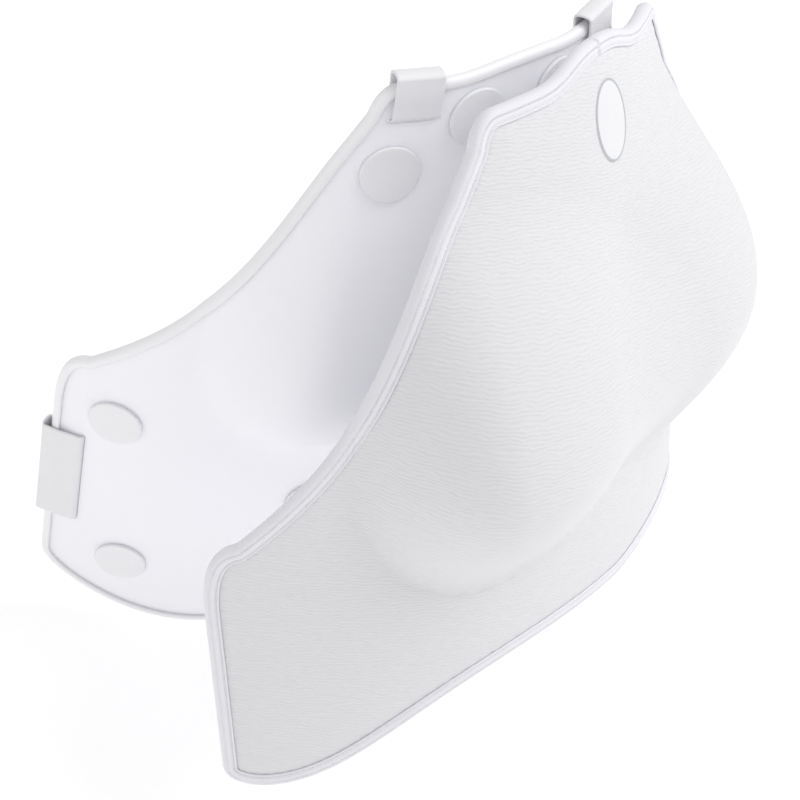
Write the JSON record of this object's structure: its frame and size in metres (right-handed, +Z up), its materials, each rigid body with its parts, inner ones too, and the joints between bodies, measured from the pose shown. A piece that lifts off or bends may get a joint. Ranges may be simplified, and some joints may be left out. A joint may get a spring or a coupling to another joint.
{
  "type": "chest protector",
  "caption": "Women's chest protector: a hard moulded plate with rimmed edge, strap loops and hook dots, and a padded cloth-faced cover that fastens over its front.",
  "frame": {"origin": "on the middle line of the chest, where the ellipse that the plate's rear face follows comes furthest forward, at the level between the cups' lower feet and their tops", "axes": "+Z up the wearer's body, +Y from the plate toward the wearer's back, +X toward the wearer's left side"},
  "size_m": [0.3402, 0.2183, 0.366],
  "materials": {
    "plate_plastic": "smooth moulded polyethylene, satin gloss",
    "edging": "soft edging, satin",
    "webbing": "woven webbing",
    "hook_tape": "hook tape, matt",
    "lining": "brushed loop knit",
    "foam": "closed-cell foam",
    "cover_cloth": "fine ribbed weave",
    "binding_tape": "folded tape, stitched",
    "label": "bare printed-patch blank"
  },
  "bodies": {
    "plate_body": {"plate": "plate_plastic", "plate_rim_left": "edging", "plate_rim_right": "edging", "side_loop_left": "webbing", "side_loop_right": "webbing", "shoulder_loop_left": "webbing", "shoulder_loop_right": "webbing", "hook_dot_neck_left": "hook_tape", "hook_dot_neck_right": "hook_tape", "hook_dot_chest_left": "hook_tape", "hook_dot_chest_right": "hook_tape", "hook_dot_wing_upper_left": "hook_tape", "hook_dot_wing_upper_right": "hook_tape", "hook_dot_wing_lower_left": "hook_tape", "hook_dot_wing_lower_right": "hook_tape", "hook_dot_rib_left": "hook_tape", "hook_dot_rib_right": "hook_tape"},
    "cover_body": {"cover_lining": "lining", "cover_foam": "foam", "cover_fabric": "cover_cloth", "cover_binding_left": "binding_tape", "cover_binding_right": "binding_tape", "label_patch": "label"}
  },
  "joints": [
    {"name": "cover_swing", "type": "hinge", "parent": "plate_body", "child": "cover_body", "pos_m": [0, 0.0416, 0.2451], "axis": [-0.7922, 0.079, 0.6051], "range_deg": [-24.5, 0]}
  ]
}
